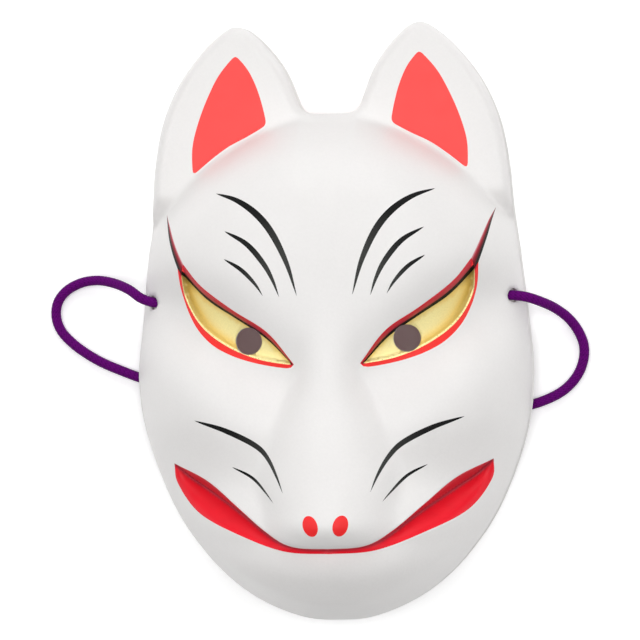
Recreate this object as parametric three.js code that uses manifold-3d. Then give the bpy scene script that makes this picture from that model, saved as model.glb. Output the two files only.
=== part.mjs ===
// A fox mask of moulded plastic that lies face up, with its elastic cord. Millimetres, +Z out of the face.
import * as THREE from 'three';
import { mergeVertices } from 'three/addons/utils/BufferGeometryUtils.js';
import Module from 'manifold-3d';

const wasm = await Module();
wasm.setup();

// Driving dimensions in millimetres
const height = 250;
const width = 166;
const depth = 80;
const wall = 1.8;
const sideWall = 12;
const flangeWidth = 1;
const flangeThickness = 1.4;
const archRise = 7;
const archLength = 90;
const archPlace = -30;
const earHeight = 17;
const lidHeight = 5;
const mouthDepth = 9;
const pupilDiameter = 11;
const cordDiameter = 4.2;
const cordHoleClearance = 0.9;
const cordHoleHeight = 17.2;
const knotDiameter = 8.6;
const knotLength = 8;
const knotDrop = 1.3;
const gap = 0.35;

// Mesh steps
const outlineSteps = 40;
const coreRings = 11;
const brimRings = 4;
const plainShare = 0.8;
const brimCrowding = 0.6;
const creaseRange = [0.6, 0.95];
const creaseFineness = 0.0005;
const curveSteps = 10;
const holeSides = 24;
const knotSides = 16;
const cordSides = 10;
const cordSteps = 52;

// Cutters run on past the faces that they cut
const lidOvershoot = 1.5;
const lipOvershoot = 1.3;
const clearAbove = 1.25 * depth;
const clearBelow = -10;

// Points on the face are percents: x of the half width, y of the half height
const halfWidth = width / 2;
const halfHeight = height / 2;
const place = ([x, y]) => new THREE.Vector2(x * halfWidth / 100, y * halfHeight / 100);

const outlinePoints = [
  [0, -100], [16.8, -99.1], [36.1, -94.3], [52.9, -86.9], [67.4, -77], [81.3, -63.5], [92.1, -46.7],
  [98.1, -31.5], [100, -17.1], [98.7, -3.5], [94.8, 21.3], [91.8, 37.3], [89.7, 53.3], [85.4, 67.7],
  [77, 80.5], [65, 91.2], [54.8, 97.5], [47.5, 100], [39.7, 98.6], [29.5, 92.1], [21.7, 84.5],
  [16.8, 76.5], [14.2, 72.3], [10.2, 70.5], [0, 70.3],
];

// Heights across the face are shares of the depth, by the place along the half height
const crownHeights = [
  [-1, 0.72], [-0.8, 0.73], [-0.67, 0.74], [-0.51, 0.565], [-0.31, 0.545], [0, 0.55], [0.4, 0.57], [0.73, 0.55],
];
const muzzleHeights = [
  [-0.74, 0.6], [-0.715, 0.81], [-0.69, 0.9], [-0.65, 0.945], [-0.6, 0.942], [-0.47, 0.88], [-0.31, 0.795],
  [-0.15, 0.722], [0, 0.675], [0.16, 0.645], [0.33, 0.58], [0.5, 0.34], [0.7, 0.1],
];
const muzzleWidths = [
  [-0.72, 0.225], [-0.6, 0.226], [-0.47, 0.253], [-0.31, 0.223], [-0.15, 0.15], [0, 0.22], [0.16, 0.28],
];
const muzzleDrop = 0.125;
const muzzlePower = 2.4;
const domePowers = [[-0.95, 9], [-0.82, 7.5], [-0.7, 4.6], [-0.5, 3.8], [-0.3, 4.5], [0.15, 5.3]];
const headHalfWidth = 1.03;
const headTop = 0.7;
const headPower = 1.85;
const headBlend = 0.08;
const earStart = [0.26, 0.44];
const earTip = [0.5, 1];
const earTipRise = 2;

// Rounding in millimetres where one surface runs into the next, and the steepness of the outer edge
const muzzleBlend = 5;
const earBlend = 4;
const edgeBlend = 4;
const edgeSlope = 3.2;
const slopeStep = 0.5;

// The hollow beside the nose and below the brow, from the inner corner of the eye out to the temple
const socketInner = [20, -20];
const socketOuter = [76, 4.5];
const socketInnerDepth = 0.08;
const socketOuterDepth = 0.185;
const socketReach = 0.062;

// Curves of the right eye and of the right half of the mouth, from the outside in
const lidLine = [[70.3, 19.8], [61, 12.4], [45.1, 4.4], [28.5, -2.9], [16, -13.3]];
const goldTop = [[71.6, 16.4], [59.1, 8.1], [44.5, 1.7], [30, -4.8], [17.5, -13.3]];
const goldFoot = [[71.6, 16.4], [69.8, 8.5], [62, 0], [49.5, -6.4], [34, -10.9], [17.5, -13.3]];
const pupilPlace = [38.5, -5.6];
const upperLip = [[79, -45.4], [61.3, -50.5], [45.6, -58.5], [30, -66.6], [17, -70.8], [0, -71.3]];
const lowerLip = [[79, -45.4], [77.9, -52.2], [66.2, -61.5], [43.9, -67.9], [21.7, -72.6], [0, -73.4]];
const mouthFold = [[79, -45.4], [71, -50.2], [60.6, -54.5], [42, -62], [22, -70.4], [0, -72.3]];

// The gilded eyeball lies this far below the lower lid, and falls off to the depth of the upper one
const goldSink = 1.2;
const lidReach = 0.08;
const lidPower = 1.5;
const goldCoreShare = 0.55;

// The mouth is at its full depth where the lips are this share of the height apart
const fullMouth = 0.05;
const cornerDepthShare = 0.3;

// Behind slanted faces the wall is this much deeper along Z
const slantShare = 1.4;

const cordHole = [90.6, 7.7];

// The elastic's route, in millimetres, from the left hole to the right one
const cordRoute = [
  [-79.5, 11.4, 17.7], [-85.2, 15.2, 14.8], [-92.6, 18.2, 9.2], [-100.9, 19.6, 4.6], [-108.2, 18.6, 2.6],
  [-114.5, 15.2, 2.2], [-118.1, 10.4, 2.15], [-118.8, 4.3, 2.15], [-116.8, -1.4, 2.15], [-111.9, -6.9, 2.15],
  [-105.8, -11.5, 2.15], [-99.7, -15.1, 2.15], [-91.4, -18.8, 2.15], [-82, -22.4, 2.15], [-66, -26.8, 2.15],
  [-44, -30.6, 2.15], [-22, -33.2, 2.15], [0, -35, 2.15], [22, -36.4, 2.15], [44, -37.4, 2.15],
  [62, -37.8, 2.15], [76, -37.2, 2.15], [86.4, -34.7, 2.15], [95, -30.4, 2.15], [100.6, -24.6, 2.15],
  [103.4, -18.2, 2.15], [103.8, -12, 2.15], [101.8, -6.2, 2.4], [97.8, -0.6, 4.2], [92.2, 3.8, 8.4],
  [86.4, 6.6, 14.2], [80.4, 8.7, 17.3],
];

const plastic = new THREE.MeshStandardMaterial({ color: 0xefeeec, roughness: 0.35, metalness: 0 });
const elastic = new THREE.MeshStandardMaterial({ color: 0x5c0a86, roughness: 0.8, metalness: 0 });

// Plain functions
const clamp = (value, low, high) => Math.min(Math.max(value, low), high);

function softMin(a, b, blend) {
  const near = Math.max(blend - Math.abs(a - b), 0) / blend;
  return Math.min(a, b) - near * near * blend / 4;
}

const softMax = (a, b, blend) => -softMin(-a, -b, blend);

function fade(value, from, to) {
  const t = clamp((value - from) / (to - from), 0, 1);
  return t * t * (3 - 2 * t);
}

// A smooth curve through stations of place and height
function profile(stations, at) {
  const last = stations.length - 1;
  const t = clamp(at, stations[0][0], stations[last][0]);
  const i = clamp(stations.findIndex(([where]) => where >= t) - 1, 0, last - 1);
  const slope = (k) => {
    const [x0, y0] = stations[Math.max(k - 1, 0)];
    const [x1, y1] = stations[Math.min(k + 1, last)];
    return (y1 - y0) / (x1 - x0);
  };
  const [x0, y0] = stations[i];
  const [x1, y1] = stations[i + 1];
  const span = x1 - x0;
  const s = (t - x0) / span;
  const rise = y1 - y0;
  const m0 = slope(i) * span;
  const m1 = slope(i + 1) * span;
  return y0 + s * (m0 + s * (3 * rise - 2 * m0 - m1 + s * (m0 + m1 - 2 * rise)));
}

// Points spaced evenly along a smooth curve
function smooth(points, steps, closed = false) {
  const curve = new THREE.CatmullRomCurve3(
    points.map((p) => new THREE.Vector3(p.x, p.y, 0)), closed, 'catmullrom', 0.5,
  );
  const count = closed ? steps : steps + 1;
  return Array.from({ length: count }, (_, i) => curve.getPointAt(i / steps));
}

const mirrored = (p) => new THREE.Vector3(-p.x, p.y, p.z);

// The outline, as an even number of points from the chin up the right side and down the left
const rightHalf = outlinePoints.map(place);
const leftHalf = rightHalf.slice(1, -1).reverse().map((p) => new THREE.Vector2(-p.x, p.y));
const wholeOutline = smooth([...rightHalf, ...leftHalf], 2 * outlineSteps, true);
const rightOutline = wholeOutline.slice(0, outlineSteps + 1);
const widest = Math.max(...rightOutline.map((p) => p.x));
const tallest = Math.max(...rightOutline.map((p) => p.y));
rightOutline.forEach((p, i) => {
  p.x = i % outlineSteps === 0 ? 0 : p.x * halfWidth / widest;
  p.y = -halfHeight + (p.y + halfHeight) * height / (tallest + halfHeight);
});
const outline = [...rightOutline, ...rightOutline.slice(1, -1).reverse().map(mirrored)];

// The same loop, moved inwards by a distance
function inset(loop, distance) {
  const count = loop.length;
  return loop.map((p, i) => {
    const along = loop[(i + 1) % count].clone().sub(loop[(i + count - 1) % count]).normalize();
    return new THREE.Vector3(p.x - along.y * distance, p.y + along.x * distance, p.z);
  });
}

const wallOutline = inset(outline, flangeWidth);
const innerOutline = inset(outline, flangeWidth + wall);

function distanceToLoop(x, y, loop) {
  let nearest = Infinity;
  loop.forEach((a, i) => {
    const b = loop[(i + 1) % loop.length];
    const dx = b.x - a.x;
    const dy = b.y - a.y;
    const t = clamp(((x - a.x) * dx + (y - a.y) * dy) / (dx * dx + dy * dy), 0, 1);
    nearest = Math.min(nearest, Math.hypot(a.x + t * dx - x, a.y + t * dy - y));
  });
  return nearest;
}

// How far out towards the outline a point is, from 0 in the middle to 1 on the outline
const spokes = rightOutline.map((p) => {
  const u = p.x / halfWidth;
  const v = p.y / halfHeight;
  return [Math.atan2(v, u), Math.hypot(u, v)];
});

function reach(u, v) {
  const angle = Math.atan2(v, u);
  const i = clamp(spokes.findIndex(([a]) => a >= angle), 1, outlineSteps);
  const [a0, r0] = spokes[i - 1];
  const [a1, r1] = spokes[i];
  const t = clamp((angle - a0) / (a1 - a0), 0, 1);
  return Math.hypot(u, v) / (r0 + t * (r1 - r0));
}

function headReach(u, v) {
  const upper = Math.max(v, 0) / headTop;
  return ((u / headHalfWidth) ** headPower + upper ** headPower) ** (1 / headPower);
}

// The hollow that the eyes lie in
function socket(x, y) {
  const a = place(socketInner);
  const b = place(socketOuter);
  const line = b.clone().sub(a);
  const t = clamp(((x - a.x) * line.x + (y - a.y) * line.y) / line.lengthSq(), 0, 1);
  const away = Math.hypot(x - a.x - t * line.x, y - a.y - t * line.y) / (socketReach * height);
  return depth * (socketInnerDepth + t * (socketOuterDepth - socketInnerDepth)) * Math.exp(-away * away);
}

// Height of the rounded head, cheeks and jaw
function dome(x, y) {
  const u = x / halfWidth;
  const v = y / halfHeight;
  const out = softMax(reach(u, v), headReach(u, v), headBlend);
  return sideWall + depth * profile(crownHeights, v) * (1 - out ** profile(domePowers, v)) - socket(x, y);
}

// Height of the ridge of the nose and its flanks
function muzzle(x, y) {
  const v = y / halfHeight;
  const flank = depth * muzzleDrop * (x / halfWidth / profile(muzzleWidths, v)) ** muzzlePower;
  return depth * profile(muzzleHeights, v) - flank;
}

// Height of the flat ears
function ear(y) {
  const v = y / halfHeight;
  return earHeight * fade(v, ...earStart) + earTipRise * fade(v, ...earTip);
}

// Height of the face's outer surface, before the eyes and the mouth are sunk into it
function face(px, y) {
  const x = Math.abs(px);
  const head = softMax(dome(x, y), muzzle(x, y), muzzleBlend);
  const edge = sideWall + edgeSlope * distanceToLoop(x, y, wallOutline);
  return softMin(softMax(head, ear(y), earBlend), edge, edgeBlend);
}

// Height of the inner surface, one wall behind the outer one
function inside(x, y) {
  const dx = (face(x + slopeStep, y) - face(x - slopeStep, y)) / (2 * slopeStep);
  const dy = (face(x, y + slopeStep) - face(x, y - slopeStep)) / (2 * slopeStep);
  return face(x, y) - wall * Math.sqrt(1 + dx * dx + dy * dy);
}

// The edge that the mask lies on, which arches up at each side over the cord
function rim(y) {
  const t = clamp(2 * (y - archPlace) / archLength, -1, 1);
  return archRise * (1 - t * t) ** 2;
}

// A closed solid from loops of equal length, with a point in the middle of each end
function stack(loops, start, end) {
  const count = loops[0].length;
  const positions = [start, ...loops.flat(), end].flatMap((p) => [p.x, p.y, p.z]);
  const faces = [];
  const id = (loop, i) => 1 + loop * count + (i % count);
  const endId = 1 + loops.length * count;
  for (let i = 0; i < count; i += 1) {
    faces.push(0, id(0, i + 1), id(0, i));
    faces.push(endId, id(loops.length - 1, i), id(loops.length - 1, i + 1));
    for (let k = 0; k + 1 < loops.length; k += 1) {
      const [a, b, c, d] = [id(k, i), id(k, i + 1), id(k + 1, i + 1), id(k + 1, i)];
      faces.push(...(i < count / 2 ? [a, b, c, a, c, d] : [a, b, d, b, c, d]));
    }
  }
  const geometry = new THREE.BufferGeometry();
  geometry.setAttribute('position', new THREE.Float32BufferAttribute(positions, 3));
  geometry.setIndex(faces);
  return solid(geometry);
}

function signedVolume(position, index) {
  const [a, b, c] = [0, 1, 2].map(() => new THREE.Vector3());
  let sum = 0;
  for (let i = 0; i < index.count; i += 3) {
    a.fromBufferAttribute(position, index.getX(i));
    b.fromBufferAttribute(position, index.getX(i + 1));
    c.fromBufferAttribute(position, index.getX(i + 2));
    sum += a.dot(b.cross(c));
  }
  return sum / 6;
}

function solid(source) {
  source.deleteAttribute('normal');
  source.deleteAttribute('uv');
  const geometry = mergeVertices(source, 1e-4);
  const triVerts = Uint32Array.from(geometry.index.array);
  if (signedVolume(geometry.attributes.position, geometry.index) < 0) {
    triVerts.reverse();
  }
  const vertProperties = Float32Array.from(geometry.attributes.position.array);
  return new wasm.Manifold(new wasm.Mesh({ numProp: 3, vertProperties, triVerts }));
}

function geometryOf(manifold) {
  const { vertProperties, triVerts } = manifold.getMesh();
  const geometry = new THREE.BufferGeometry();
  geometry.setAttribute('position', new THREE.BufferAttribute(vertProperties, 3));
  geometry.setIndex(new THREE.BufferAttribute(triVerts, 1));
  return geometry;
}

const lift = (loop, heightAt) => loop.map((p) => new THREE.Vector3(p.x, p.y, heightAt(p.x, p.y)));
const shrink = (loop, share, centre) => loop.map((p) => p.clone().lerp(centre, 1 - share));

// Share of the way out at which the head meets the ear, or a plain share where there is no ear
function creaseShare(p) {
  const x = Math.abs(p.x);
  const above = (share) => dome(x * share, p.y * share) > ear(p.y * share);
  let low = creaseRange[0];
  let high = 1;
  if (p.y <= 0 || above(high) || !above(low)) {
    return plainShare;
  }
  while (high - low > creaseFineness) {
    const share = (low + high) / 2;
    if (above(share)) {
      low = share;
    } else {
      high = share;
    }
  }
  return Math.min(low, creaseRange[1]);
}

// Rings close up towards the steep edge
function ringShares(p) {
  const crease = creaseShare(p);
  const core = Array.from({ length: coreRings }, (_, k) => crease * (k + 1) / coreRings);
  const brim = Array.from({ length: brimRings - 1 }, (_, k) => {
    const t = (k + 1) / brimRings;
    return crease + (1 - crease) * (t + brimCrowding * t * (1 - t));
  });
  return [...core, ...brim];
}

function faceSolid(loop, heightAt, bottomLoops) {
  const shares = outline.map(ringShares);
  const rings = shares[0].map((_, k) => loop.map((p, i) => p.clone().multiplyScalar(shares[i][k])));
  const tops = [...rings, loop].reverse().map((ring) => lift(ring, heightAt));
  const top = new THREE.Vector3(0, 0, heightAt(0, 0));
  return stack([...bottomLoops, ...tops], new THREE.Vector3(0, 0, bottomLoops[0][0].z), top);
}

function outerSolid() {
  const onRim = (x, y) => rim(y);
  const rimRing = lift(inset(outline, flangeWidth + 3 * wall), onRim);
  return faceSolid(wallOutline, face, [rimRing, lift(wallOutline, onRim)]);
}

function innerSolid() {
  return faceSolid(innerOutline, inside, [lift(innerOutline, () => clearBelow)]);
}

// The narrow flange around the rim
function flangeSolid() {
  const loops = [];
  outline.forEach((p, i) => {
    const q = inset(outline, flangeWidth + wall / 2)[i];
    const low = rim(p.y);
    const high = low + flangeThickness;
    loops.push([[p, low], [p, high], [q, high], [q, low]].map(([r, z]) => new THREE.Vector3(r.x, r.y, z)));
  });
  const positions = loops.flat().flatMap((p) => [p.x, p.y, p.z]);
  const faces = [];
  loops.forEach((_, i) => {
    for (let k = 0; k < 4; k += 1) {
      const a = 4 * i + k;
      const b = 4 * i + (k + 1) % 4;
      const c = 4 * ((i + 1) % loops.length) + k;
      const d = 4 * ((i + 1) % loops.length) + (k + 1) % 4;
      faces.push(a, b, d, a, d, c);
    }
  });
  const geometry = new THREE.BufferGeometry();
  geometry.setAttribute('position', new THREE.Float32BufferAttribute(positions, 3));
  geometry.setIndex(faces);
  return solid(geometry);
}

// Loop around one eye from its upper and its lower curve
function eyeLoop(upper, lower, side) {
  const top = smooth(upper.map(place), curveSteps);
  const foot = smooth(lower.map(place), curveSteps);
  const loop = [...top, ...foot.slice(1, -1).reverse()];
  return side > 0 ? loop : loop.map(mirrored);
}

// Height of the gilded eyeball under the lids
function eyeball(px, y) {
  const x = Math.abs(px);
  const lid = smooth(lidLine.map(place), curveSteps);
  const nearest = Math.min(...lid.map((p) => Math.hypot(p.x - x, p.y - y)));
  const under = Math.max(1 - nearest / (lidReach * height), 0);
  return face(x, y) - goldSink - (lidHeight - goldSink) * under ** lidPower;
}

function eyeCutter(side, grow) {
  const gold = eyeLoop(goldTop, goldFoot, side);
  const lids = eyeLoop(lidLine, goldFoot, side);
  const centre = gold.reduce((sum, p) => sum.add(p), new THREE.Vector3()).divideScalar(gold.length);
  const out = (loop) => inset(loop, -side * grow);
  const floor = (x, y) => eyeball(x, y) - grow;
  const foot = lift(out(gold), floor);
  const brow = lift(out(lids), face).map((p, i) => foot[i].clone().lerp(p, lidOvershoot));
  const core = lift(shrink(out(gold), goldCoreShare, centre), floor);
  const loops = [core, foot, brow, lift(brow, () => clearAbove)];
  const low = new THREE.Vector3(centre.x, centre.y, floor(centre.x, centre.y));
  return stack(loops, low, new THREE.Vector3(centre.x, centre.y, clearAbove));
}

// One cut across the mouth: from the fold out to both lips, and on up past the face
function mouthSection(upper, fold, lower, grow) {
  const toLower = lower.clone().sub(upper);
  const open = toLower.length();
  toLower.setLength(grow);
  const u = upper.clone().sub(toLower);
  const l = lower.clone().add(toLower);
  const drop = mouthDepth * clamp(open / (fullMouth * height), cornerDepthShare, 1);
  const deepest = new THREE.Vector3(fold.x, fold.y, face(fold.x, fold.y) - drop - slantShare * grow);
  u.z = face(upper.x, upper.y) - grow / 2;
  l.z = face(lower.x, lower.y) - grow / 2;
  const [up, low] = [u, l].map((p) => deepest.clone().lerp(p, lipOvershoot));
  return [deepest, low, low.clone().setZ(clearAbove), up.clone().setZ(clearAbove), up];
}

// The groove of the mouth, from corner to corner
function mouthCutter(grow) {
  const [upper, fold, lower] = [upperLip, mouthFold, lowerLip].map(
    (points) => smooth(points.map(place), curveSteps),
  );
  const right = upper.slice(1).map((p, i) => mouthSection(p, fold[i + 1], lower[i + 1], grow));
  const left = right.slice(0, -1).reverse().map((section) => section.map(mirrored));
  const corner = upper[0].clone();
  corner.x += grow;
  corner.z = face(upper[0].x, corner.y) - grow / 2;
  return stack([...right, ...left], corner, mirrored(corner));
}

function cylinder(diameter, length, axis, x, y, z) {
  const geometry = new THREE.CylinderGeometry(diameter / 2, diameter / 2, length, holeSides);
  if (axis === 'z') {
    geometry.rotateX(Math.PI / 2);
  } else {
    geometry.rotateZ(Math.PI / 2);
  }
  geometry.translate(x, y, z);
  return solid(geometry);
}

const pupil = place(pupilPlace);
const hole = place(cordHole);
const holeDiameter = cordDiameter + 2 * cordHoleClearance;
const holeReach = 0.3 * width;

function maskShell() {
  let outer = outerSolid().add(flangeSolid()).subtract(mouthCutter(0));
  let hollow = innerSolid().subtract(mouthCutter(wall));
  for (const side of [1, -1]) {
    outer = outer.subtract(eyeCutter(side, 0));
    hollow = hollow.subtract(eyeCutter(side, wall));
  }
  let shell = outer.subtract(hollow);
  for (const side of [1, -1]) {
    shell = shell.subtract(cylinder(pupilDiameter, 4 * depth, 'z', side * pupil.x, pupil.y, 0));
    shell = shell.subtract(cylinder(holeDiameter, holeReach, 'x', side * hole.x, hole.y, cordHoleHeight));
  }
  return geometryOf(shell);
}

// The middle of a knot, a little below its hole and as far out as the hollow has room for it
const knotHeight = cordHoleHeight - knotDrop;

function hasRoomForKnot(x) {
  const radius = knotDiameter / 2 + 2 * gap;
  return [-1, -0.8, -0.5, 0, 0.5, 0.8, 1].every(
    (t) => inside(x, hole.y + t * radius) > knotHeight + radius * Math.sqrt(1 - t * t),
  );
}

function furthestOut() {
  let x = hole.x;
  while (!hasRoomForKnot(x) && x > knotLength) {
    x -= gap;
  }
  return x;
}

const knotPlace = furthestOut() - knotLength / 2;

// A stopper knot as a rounded barrel, lengthwise along X
function knot(side) {
  const profilePoints = [[0, -0.5], [0.6, -0.5], [1, -0.25], [1, 0.25], [0.6, 0.5], [0, 0.5]];
  const outlineOf = profilePoints.map(([r, y]) => new THREE.Vector2(r * knotDiameter / 2, y * knotLength));
  const geometry = new THREE.LatheGeometry(outlineOf, knotSides);
  geometry.rotateZ(Math.PI / 2);
  geometry.translate(side * knotPlace, hole.y, knotHeight);
  return geometryOf(solid(geometry));
}

// The elastic as one tube, from knot to knot
function cord() {
  const end = knotPlace + knotLength / 2 + gap;
  const lead = [[end, knotHeight], [end + gap, knotHeight], [hole.x - wall / 2, cordHoleHeight]];
  const rightLead = lead.map(([x, z]) => new THREE.Vector3(x, hole.y, z));
  const route = [
    ...rightLead.map(mirrored),
    ...cordRoute.map(([x, y, z]) => new THREE.Vector3(x, y, z)),
    ...rightLead.reverse(),
  ];
  const section = new THREE.Shape();
  for (let i = 0; i < cordSides; i += 1) {
    const angle = 2 * Math.PI * i / cordSides;
    const [x, y] = [Math.cos(angle) * cordDiameter / 2, Math.sin(angle) * cordDiameter / 2];
    if (i === 0) {
      section.moveTo(x, y);
    } else {
      section.lineTo(x, y);
    }
  }
  const extrudePath = new THREE.CatmullRomCurve3(route);
  return geometryOf(solid(new THREE.ExtrudeGeometry(section, { steps: cordSteps, extrudePath })));
}

const group = new THREE.Group();

function addPiece(name, geometry, material) {
  const mesh = new THREE.Mesh(geometry, material);
  mesh.name = name;
  group.add(mesh);
}

addPiece('mask_shell', maskShell(), plastic);
addPiece('elastic_cord', cord(), elastic);
addPiece('cord_knot_left', knot(-1), elastic);
addPiece('cord_knot_right', knot(1), elastic);

export default group;
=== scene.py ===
"""A fox mask of moulded plastic with painted eyes, ears and mouth, lying face up with its elastic cord."""

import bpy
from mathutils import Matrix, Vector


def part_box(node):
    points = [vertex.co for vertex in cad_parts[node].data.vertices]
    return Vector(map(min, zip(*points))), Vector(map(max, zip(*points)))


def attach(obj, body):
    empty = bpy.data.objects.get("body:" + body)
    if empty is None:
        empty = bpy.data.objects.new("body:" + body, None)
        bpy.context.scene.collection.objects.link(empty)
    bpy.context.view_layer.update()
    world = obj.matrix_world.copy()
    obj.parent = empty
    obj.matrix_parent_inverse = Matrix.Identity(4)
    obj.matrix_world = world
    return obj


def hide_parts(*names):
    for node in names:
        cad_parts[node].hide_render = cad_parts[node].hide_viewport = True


bl_info = {
    "name": "Fox Mask",
    "version": (1, 0, 0),
    "blender": (4, 5, 0),
    "location": "View3D > Sidebar > Fox Mask",
    "description": "Builds a painted plastic fox mask, its elastic cord and a plain studio",
    "category": "Add Mesh",
}

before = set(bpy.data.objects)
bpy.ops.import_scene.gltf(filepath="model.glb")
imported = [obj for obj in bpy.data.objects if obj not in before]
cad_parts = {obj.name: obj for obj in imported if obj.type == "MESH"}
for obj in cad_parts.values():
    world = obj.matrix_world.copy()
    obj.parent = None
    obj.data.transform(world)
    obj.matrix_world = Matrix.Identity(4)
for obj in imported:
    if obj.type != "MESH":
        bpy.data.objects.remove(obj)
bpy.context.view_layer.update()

import math

import bpy
import numpy as np
from mathutils import Matrix
from mathutils.geometry import delaunay_2d_cdt
from mathutils.kdtree import KDTree

MM = 0.001
BODY = "root"
SHELL_SLOT = "shell_plastic"
CORD_SLOT = "cord_elastic"

# Sizes of the shell in millimetres, its width and height taken from the frame
SHELL_LOW, SHELL_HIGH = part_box("mask_shell")
HALF_WIDTH = (SHELL_HIGH[0] - SHELL_LOW[0]) / 2 / MM
HALF_HEIGHT = (SHELL_HIGH[1] - SHELL_LOW[1]) / 2 / MM
DEPTH = 80
SIDE_WALL = 12
FLANGE_WIDTH = 1
FLANGE_THICKNESS = 1.4
ARCH_RISE = 7
ARCH_LENGTH = 90
ARCH_PLACE = -30
EAR_HEIGHT = 17
CORD_HOLE_HEIGHT = 17.2
CORD_HOLE_DIAMETER = 6

# Points on the face are percents: x of the half width, y of the half height
OUTLINE = [
    (0, -100), (16.8, -99.1), (36.1, -94.3), (52.9, -86.9), (67.4, -77), (81.3, -63.5), (92.1, -46.7),
    (98.1, -31.5), (100, -17.1), (98.7, -3.5), (94.8, 21.3), (91.8, 37.3), (89.7, 53.3), (85.4, 67.7),
    (77, 80.5), (65, 91.2), (54.8, 97.5), (47.5, 100), (39.7, 98.6), (29.5, 92.1), (21.7, 84.5),
    (16.8, 76.5), (14.2, 72.3), (10.2, 70.5), (0, 70.3),
]
OUTLINE_STEPS = 200

# Heights across the face are shares of the depth, by the place along the half height
CROWN_HEIGHTS = [
    (-1, 0.72), (-0.8, 0.73), (-0.67, 0.74), (-0.51, 0.565), (-0.31, 0.545),
    (0, 0.55), (0.4, 0.57), (0.73, 0.55),
]
MUZZLE_HEIGHTS = [
    (-0.74, 0.6), (-0.715, 0.81), (-0.69, 0.9), (-0.65, 0.945), (-0.6, 0.942), (-0.47, 0.88),
    (-0.31, 0.795), (-0.15, 0.722), (0, 0.675), (0.16, 0.645), (0.33, 0.58), (0.5, 0.34), (0.7, 0.1),
]
MUZZLE_WIDTHS = [
    (-0.72, 0.225), (-0.6, 0.226), (-0.47, 0.253), (-0.31, 0.223), (-0.15, 0.15), (0, 0.22), (0.16, 0.28),
]
MUZZLE_DROP = 0.125
MUZZLE_POWER = 2.4
DOME_POWERS = [(-0.95, 9), (-0.82, 7.5), (-0.7, 4.6), (-0.5, 3.8), (-0.3, 4.5), (0.15, 5.3)]
HEAD_HALF_WIDTH = 1.03
HEAD_TOP = 0.7
HEAD_POWER = 1.85
HEAD_BLEND = 0.08
EAR_START = (0.26, 0.44)
EAR_TIP = (0.5, 1)
EAR_TIP_RISE = 2

# Rounding in millimetres where one surface runs into the next, and the steepness of the outer edge
MUZZLE_BLEND = 5
EAR_BLEND = 4
EDGE_BLEND = 4
EDGE_SLOPE = 3.2

# The hollow beside the nose and below the brow
SOCKET_INNER = (20, -20)
SOCKET_OUTER = (76, 4.5)
SOCKET_INNER_DEPTH = 0.08
SOCKET_OUTER_DEPTH = 0.185
SOCKET_REACH = 15.5

# Curves of the right eye and of the right half of the mouth, from the outside in
LID_LINE = [(70.3, 19.8), (61, 12.4), (45.1, 4.4), (28.5, -2.9), (16, -13.3)]
GOLD_TOP = [(71.6, 16.4), (59.1, 8.1), (44.5, 1.7), (30, -4.8), (17.5, -13.3)]
GOLD_FOOT = [(71.6, 16.4), (69.8, 8.5), (62, 0), (49.5, -6.4), (34, -10.9), (17.5, -13.3)]
RIM_FOOT = [
    (73.6, 18.4), (72.7, 11.3), (69.6, 4.5), (64.5, -1.6), (57, -6.6), (47.8, -10), (37.8, -12.3),
    (27.5, -13.8), (18.6, -14.5), (16, -13.3),
]
TAIL_OUTER = [(82.5, 36.9), (80.4, 32.3), (78.4, 27.6), (76.1, 23), (73.6, 18.4)]
TAIL_INNER = [(82.5, 36.9), (79.2, 32.8), (76.3, 28.4), (73.4, 24), (70.3, 19.8)]
UPPER_LIP = [(79, -45.4), (61.3, -50.5), (45.6, -58.5), (30, -66.6), (17, -70.8), (0, -71.3)]
LOWER_LIP = [(79, -45.4), (77.9, -52.2), (66.2, -61.5), (43.9, -67.9), (21.7, -72.6), (0, -73.4)]
MOUTH_FOLD = [(79, -45.4), (71, -50.2), (60.6, -54.5), (42, -62), (22, -70.4), (0, -72.3)]
PUPIL_PLACE = (38.5, -5.6)
CORD_HOLE = (90.6, 7.7)

# Painted shapes on the right half
EAR_OUTER = [(46.4, 89), (54.6, 82.6), (60.7, 75), (65.5, 67.2), (68.8, 59), (69, 50.5)]
EAR_BASE = [(68.6, 49.8), (59.8, 54.6), (50.7, 58.9), (40.8, 62.2), (31.4, 65.7)]
EAR_INNER = [(31.2, 66.5), (33, 72.2), (35.8, 78.5), (39.9, 84.3), (45.6, 89)]
NOSTRIL_PLACE = (7.1, -63.5)
STROKES = {
    "long_brow": (
        [(53.5, 42.4), (42.7, 39.8), (33.2, 35.5), (25.7, 29.7), (18.1, 19.4), (13.3, 8.5)], 1.4,
    ),
    "middle_brow": ([(48.1, 29.8), (37.1, 25.4), (28.8, 18.8), (24.8, 13.7), (21.9, 8.3)], 1.12),
    "short_brow": ([(48.4, 20.8), (40.1, 17.3), (33.3, 12.5), (29.8, 8.8)], 0.84),
    "long_whisker": (
        [(65.6, -30.9), (49.4, -34.3), (34.3, -39.5), (28.5, -43.6), (24.2, -48.4), (20.8, -53.6)], 1.14,
    ),
    "short_whisker": ([(47.4, -46), (37.7, -49.3), (29.7, -54.3), (26, -57)], 0.6),
}
CURVE_STEPS = 40
MOUTH_STEPS = 60
TAIL_STEPS = 20

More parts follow.
